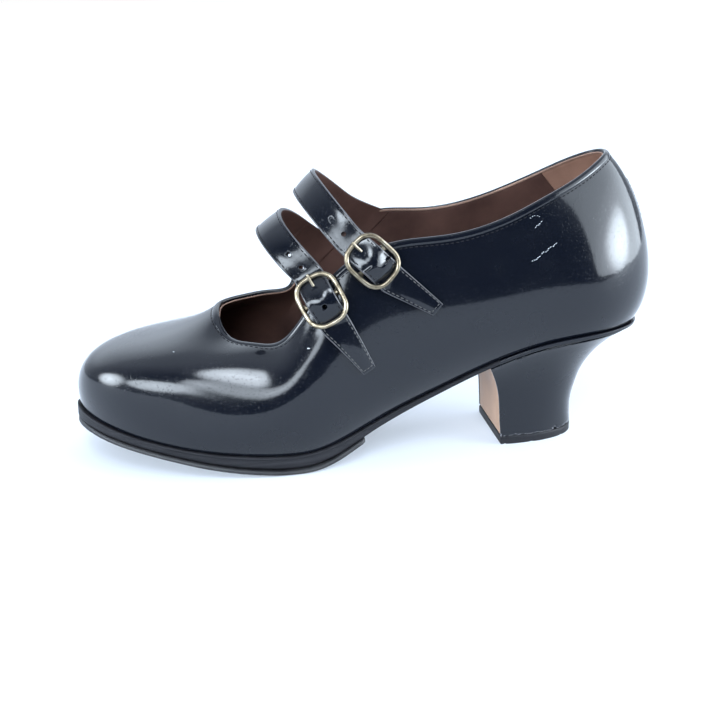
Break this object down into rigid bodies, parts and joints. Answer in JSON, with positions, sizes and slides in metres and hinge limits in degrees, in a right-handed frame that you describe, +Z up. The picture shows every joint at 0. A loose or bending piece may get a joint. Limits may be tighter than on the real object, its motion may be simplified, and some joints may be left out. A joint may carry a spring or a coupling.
{
  "type": "flamenco shoe",
  "caption": "Black patent leather flamenco shoe for the left foot, with buckled instep straps, a leather sole with a rubber forefoot, and a covered curved heel with a tan breast",
  "frame": {"origin": "on the floor under the middle of the shoe's whole outline", "axes": "+X runs along the foot to the toe, +Y to the outer side of the left foot where the buckles are, +Z up from the floor"},
  "size_m": [0.2402, 0.0821, 0.1197],
  "materials": {
    "patent": "black patent, high gloss",
    "heel_cover": "black leather cover, satin",
    "sole_leather": "sole leather with a black waxed edge",
    "board": "brown leather board",
    "tan": "tan leather facing, matt",
    "rubber": "black rubber, matt",
    "metal": "aged brass plate, polished on the edges"
  },
  "bodies": {
    "root": {"upper": "patent", "insole": "board", "outsole": "sole_leather", "half_sole": "rubber", "heel": "heel_cover", "heel_breast": "tan", "heel_tip": "rubber", "strap_front": "patent", "strap_back": "patent", "buckle_frame_front": "metal", "buckle_frame_back": "metal", "buckle_prong_front": "metal", "buckle_prong_back": "metal", "buckle_loop_front": "patent", "buckle_loop_back": "patent"}
  },
  "joints": []
}
